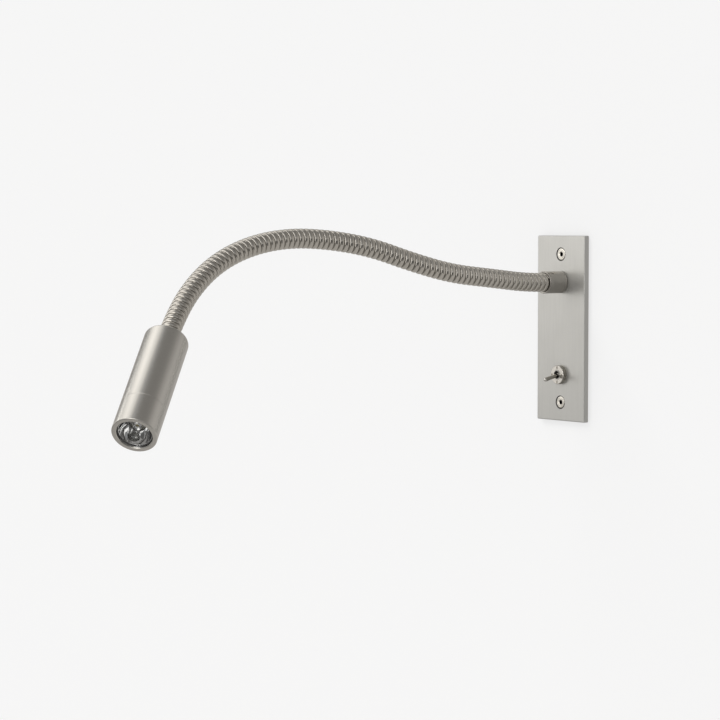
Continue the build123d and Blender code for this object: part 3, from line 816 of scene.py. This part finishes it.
# heights are from the neck's end, and the well's own points from the foot
opticSizes = {"foot": 63.0, "footRadius": 4.2, "coneTop": 9.0, "coneSteps": 8, "bulge": 0.55,
              "flange": 1.8, "rim": 74.0, "rimRadius": 11.25, "face": 10.05, "step": 1.5,
              "crown": 1.3, "domeRings": 17, "disc": 3.5, "discSunk": 0.3, "sides": 128,
              "well": [(0.4, 3.85), (1.1, 3.7), (1.9, 3.2), (2.2, 0)]}


def domePoints():
    # the face is a shallow cap of a sphere, and its middle is a sunk disc
    size = opticSizes
    face, crown = size["face"], size["crown"]
    sphere = (face ** 2 + crown ** 2) / (2 * crown)
    top = size["rim"] + size["step"] + crown
    points = []
    for ring in range(size["domeRings"]):
        lean = asin(face / sphere) * (1 - ring / (size["domeRings"] - 0.6))
        radius = sphere * sin(lean)
        sunk = size["discSunk"] if radius < size["disc"] else 0
        points.append((radius, top - sphere * (1 - cos(lean)) - sunk))
    return points


def conePoints():
    # the cone's side bulges a little, so that it throws the light forward
    size = opticSizes
    foot, top = size["foot"], size["rim"] - size["flange"]
    points = []
    for step in range(size["coneSteps"] + 1):
        share = step / size["coneSteps"]
        radius = size["footRadius"] + (size["coneTop"] - size["footRadius"]) * share
        points.append((radius + size["bulge"] * sin(pi * share), foot + (top - foot) * share))
    return points


def makeOptic():
    size = opticSizes
    rim, rimRadius = size["rim"], size["rimRadius"]
    outline = [(radius, size["foot"] + height) for radius, height in size["well"]] + conePoints()
    outline += [(rimRadius, rim - size["flange"]), (rimRadius, rim), (size["face"], rim)]
    optic = turnShape("optic_moulding", outline + domePoints(), size["sides"])
    smoothFaces(optic, 30)
    # the middle disc's dark glass is painted shade for the dark seen through the lens
    coat(optic, "clearOptic", "silveredCup", "discPaintedShadeGlass")  # face, cone and middle disc
    paintFaces(optic, 1, lambda spot, normal: spot.xy.length > size["footRadius"] - 0.1
               and spot.z < rim - 0.01 and normal.z < 0.1)
    paintFaces(optic, 2, lambda spot, normal: spot.xy.length < size["disc"] and spot.z > rim)
    placeShape(optic, headPlace())
    dress(optic, "head", "lens")


for stage, make in (("wall plate", makePlate), ("cover screws", makeScrews),
                    ("collar", makeCollar), ("gooseneck", makeNeck), ("lead", makeLeadEnds),
                    ("ring nut", makeRingNut), ("bushing", makeBushing), ("lever", makeLever),
                    ("head shell", makeHeadShell), ("head front", makeHeadFront),
                    ("optic", makeOptic)):
    make()
    print(stage, "made")


# studio: wall, floor, cards, lamp and camera

warmWhite = (1.0, 0.98, 0.95)
studio = {"background": 0.921, "size": 8, "floorDrop": 0.9, "paint": 0.85, "paintShare": 0.4,
          "paintGlow": 0.974, "airGlow": 0.75, "airInMetal": 0.36, "warmth": (1, 0.97, 0.93),
          "wallInMetal": ("Z", [(0.10, 0.48), (0.20, 0.37), (0.34, 0.25), (0.60, 0.22)]),
          "floorInMetal": ("Y", [(-0.95, 0.20), (-0.45, 0.46)])}


def glowRamp(tree, axis, stops):
    # a glow that changes along one axis, given by (place in metres, level) pairs
    spot = tree.nodes.new('ShaderNodeNewGeometry')
    split = tree.nodes.new('ShaderNodeSeparateXYZ')
    tree.links.new(spot.outputs["Position"], split.inputs["Vector"])
    low, high = stops[0][0], stops[-1][0]
    along = tree.nodes.new('ShaderNodeMapRange')
    along.inputs["From Min"].default_value = low
    along.inputs["From Max"].default_value = high
    tree.links.new(split.outputs[axis], along.inputs["Value"])
    ramp = tree.nodes.new('ShaderNodeValToRGB')
    while len(ramp.color_ramp.elements) < len(stops):
        ramp.color_ramp.elements.new(1.0)
    for element, (place, level) in zip(ramp.color_ramp.elements, stops):
        element.position = (place - low) / (high - low)
        element.color = [level * share for share in studio["warmth"]] + [1]
    tree.links.new(along.outputs["Result"], ramp.inputs["Fac"])
    glow = tree.nodes.new('ShaderNodeEmission')
    tree.links.new(ramp.outputs["Color"], glow.inputs["Color"])
    return glow


def bouncedRay(tree, path):
    # rays that come by way of metal or glass
    either = tree.nodes.new('ShaderNodeMath')
    either.operation = 'MAXIMUM'
    tree.links.new(path.outputs["Is Glossy Ray"], either.inputs[0])
    tree.links.new(path.outputs["Is Transmission Ray"], either.inputs[1])
    return either.outputs[0]


def backdropMaterial(name, inMetal, seeThroughBack):
    # pale to the camera with a soft shadow, darker where the metal mirrors it
    material, tree, shader = newFinish(name)
    tree.nodes.remove(shader)
    paint = tree.nodes.new('ShaderNodeBsdfDiffuse')
    paint.inputs["Color"].default_value = (studio["paint"],) * 3 + (1,)
    glow = tree.nodes.new('ShaderNodeEmission')
    glow.inputs["Color"].default_value = (studio["paintGlow"],) * 3 + (1,)
    pale = tree.nodes.new('ShaderNodeMixShader')
    pale.inputs[0].default_value = 1 - studio["paintShare"]
    mirrored = glowRamp(tree, *inMetal)
    path = tree.nodes.new('ShaderNodeLightPath')
    bounced = bouncedRay(tree, path)
    byRay = tree.nodes.new('ShaderNodeMixShader')
    tree.links.new(paint.outputs[0], pale.inputs[1])
    tree.links.new(glow.outputs[0], pale.inputs[2])
    tree.links.new(bounced, byRay.inputs[0])
    tree.links.new(pale.outputs[0], byRay.inputs[1])
    tree.links.new(mirrored.outputs[0], byRay.inputs[2])
    last = byRay
    if seeThroughBack:
        clear = tree.nodes.new('ShaderNodeBsdfTransparent')
        side = tree.nodes.new('ShaderNodeNewGeometry')
        last = tree.nodes.new('ShaderNodeMixShader')
        tree.links.new(side.outputs["Backfacing"], last.inputs[0])
        tree.links.new(byRay.outputs[0], last.inputs[1])
        tree.links.new(clear.outputs[0], last.inputs[2])
    tree.links.new(last.outputs[0], tree.nodes["Material Output"].inputs["Surface"])
    return material


def stagePlane(name, width, height, centre, facing, material):
    clearSelection()
    bpy.ops.mesh.primitive_plane_add(size=1)
    plane = bpy.context.object
    plane.name = name
    plane.scale = (width, height, 1)
    plane.rotation_mode = 'QUATERNION'
    plane.rotation_quaternion = Vector(facing).to_track_quat('Z', 'Y')
    plane.location = centre
    plane.data.materials.append(material)
    return plane


# soft cards that only the metal and the lens mirror: centre, point faced, width and height, with
# the glow at the middle and the rim of a round one, or at the foot and the top of an upright one
cards = {
    "overheadCard": {"centre": (-0.38, -0.44, 0.56), "faces": (-0.02, -0.44, 0),
                     "size": (0.50, 0.64), "kind": "round", "glow": (1.5, 0.75)},
    "frontCard": {"centre": (-0.60, -0.62, -0.02), "faces": (0, 0, -0.02), "size": (0.6, 0.9),
                  "kind": "upright", "glow": (0.0, 1.80)},
    "fillCard": {"centre": (0.05, -0.94, 0.45), "faces": (-0.02, -0.26, 0.04), "size": (0.9, 0.42),
                 "kind": "round", "glow": (2.1, 1.4)},
    "sideCard": {"centre": (-0.36, -0.004, 0.52), "faces": (-0.36, -1, 0.52), "size": (0.52, 0.34),
                 "kind": "round", "glow": (1.1, 0.85)},
    "keyCard": {"centre": (0.41, -1.05, 0.04), "faces": (-0.02, -0.16, 0.03), "size": (0.38, 0.84),
                "kind": "upright", "glow": (1.2, 2.1)},
    "stripCard": {"centre": (1.14, -0.42, 0.21), "faces": (0, -0.12, 0.03), "size": (0.9, 0.13),
                  "kind": "upright", "glow": (0.75, 0.6)},
    "roomFlag": {"centre": (1.10, -0.50, -0.36), "faces": (0, -0.5, -0.36), "size": (1.0, 0.80),
                 "kind": "upright", "glow": (0.14, 0.12)},
    "plateFlag": {"centre": (-0.005, -0.0004, 0), "faces": (-0.005, -1, 0), "size": (0.12, 0.20),
                  "kind": "upright", "glow": (0.36, 0.36)},
    "rightFlag": {"centre": (0.66, -0.004, -0.09), "faces": (0.66, -1, -0.09),
                  "size": (0.62, 0.40), "kind": "upright", "glow": (0.12, 0.16)},
}


def cardMaterial(name, card):
    material, tree, shader = newFinish(name)
    tree.nodes.remove(shader)
    place = tree.nodes.new('ShaderNodeTexCoord')
    level = tree.nodes.new('ShaderNodeMapRange')
    glow = tree.nodes.new('ShaderNodeEmission')
    glow.inputs["Color"].default_value = (*warmWhite, 1)
    if card["kind"] == "round":
        reach = tree.nodes.new('ShaderNodeVectorMath')
        reach.operation = 'LENGTH'
        tree.links.new(place.outputs["Object"], reach.inputs[0])
        tree.links.new(reach.outputs["Value"], level.inputs["Value"])
    else:
        split = tree.nodes.new('ShaderNodeSeparateXYZ')
        tree.links.new(place.outputs["Object"], split.inputs["Vector"])
        tree.links.new(split.outputs["Y"], level.inputs["Value"])
        level.inputs["From Min"].default_value = -0.5
    level.inputs["From Max"].default_value = 0.5
    level.inputs["To Min"].default_value, level.inputs["To Max"].default_value = card["glow"]
    tree.links.new(level.outputs["Result"], glow.inputs["Strength"])
    tree.links.new(glow.outputs[0], tree.nodes["Material Output"].inputs["Surface"])
    return material


def makeCards():
    for name, card in cards.items():
        facing = Vector(card["faces"]) - Vector(card["centre"])
        plane = stagePlane(name, *card["size"], card["centre"], facing, cardMaterial(name, card))
        plane.visible_camera = False
        plane.visible_diffuse = False
        plane.visible_shadow = False


def makeStudio():
    span = studio["size"]
    stagePlane("wall", span, span, (0, 0, span / 2 - studio["floorDrop"]), (0, -1, 0),
               backdropMaterial("wallPaint", studio["wallInMetal"], True))
    stagePlane("floor", span, span, (0, -span / 2, -studio["floorDrop"]), (0, 0, 1),
               backdropMaterial("floorPaint", studio["floorInMetal"], False))
    world = bpy.data.worlds.new("studioAir")
    bpy.context.scene.world = world
    world.use_nodes = True
    tree = world.node_tree
    air = tree.nodes["Background"]
    path = tree.nodes.new('ShaderNodeLightPath')
    air.inputs["Strength"].default_value = 1.0
    seen = tree.nodes.new('ShaderNodeMix')
    seen.data_type = 'RGBA'
    seen.inputs["A"].default_value = (studio["airGlow"],) * 3 + (1,)
    seen.inputs["B"].default_value = (studio["background"],) * 3 + (1,)
    mirrored = tree.nodes.new('ShaderNodeMix')
    mirrored.data_type = 'RGBA'
    mirrored.inputs["B"].default_value = (studio["airInMetal"],) * 3 + (1,)
    tree.links.new(path.outputs["Is Camera Ray"], seen.inputs["Factor"])
    tree.links.new(bouncedRay(tree, path), mirrored.inputs["Factor"])
    tree.links.new(seen.outputs["Result"], mirrored.inputs["A"])
    tree.links.new(mirrored.outputs["Result"], air.inputs["Color"])


keyLamp = {"from": (-0.55, -1.0, 1.15), "strength": 0.9, "spread": 28, "colour": warmWhite}


def makeLamp():
    # broad and far away, so that the wall is lit evenly
    clearSelection()
    bpy.ops.object.light_add(type='SUN')
    light = bpy.context.object
    light.name = "keyLamp"
    light.location = keyLamp["from"]
    light.rotation_mode = 'QUATERNION'
    light.rotation_quaternion = (-Vector(keyLamp["from"])).to_track_quat('-Z', 'Y')
    light.data.energy = keyLamp["strength"]
    light.data.angle = radians(keyLamp["spread"])
    light.data.color = keyLamp["colour"]
    light.visible_glossy = False


cameraPlace = {"position": (1.1722, -1.0673, 0.066), "pitch": 86.86, "turn": 52.5, "lens": 121.8,
               "sensor": 36, "near": 0.05, "far": 50}


def makeCamera():
    bpy.ops.object.camera_add()
    camera = bpy.context.object
    camera.name = "photoCamera"
    camera.location = cameraPlace["position"]
    camera.rotation_euler = (radians(cameraPlace["pitch"]), 0, radians(cameraPlace["turn"]))
    camera.data.lens = cameraPlace["lens"]
    camera.data.sensor_width = cameraPlace["sensor"]
    camera.data.clip_start = cameraPlace["near"]
    camera.data.clip_end = cameraPlace["far"]
    bpy.context.scene.camera = camera


makeStudio()
makeCards()
makeLamp()
makeCamera()
bpy.context.scene.view_settings.view_transform = 'Standard'
print("studio ready")
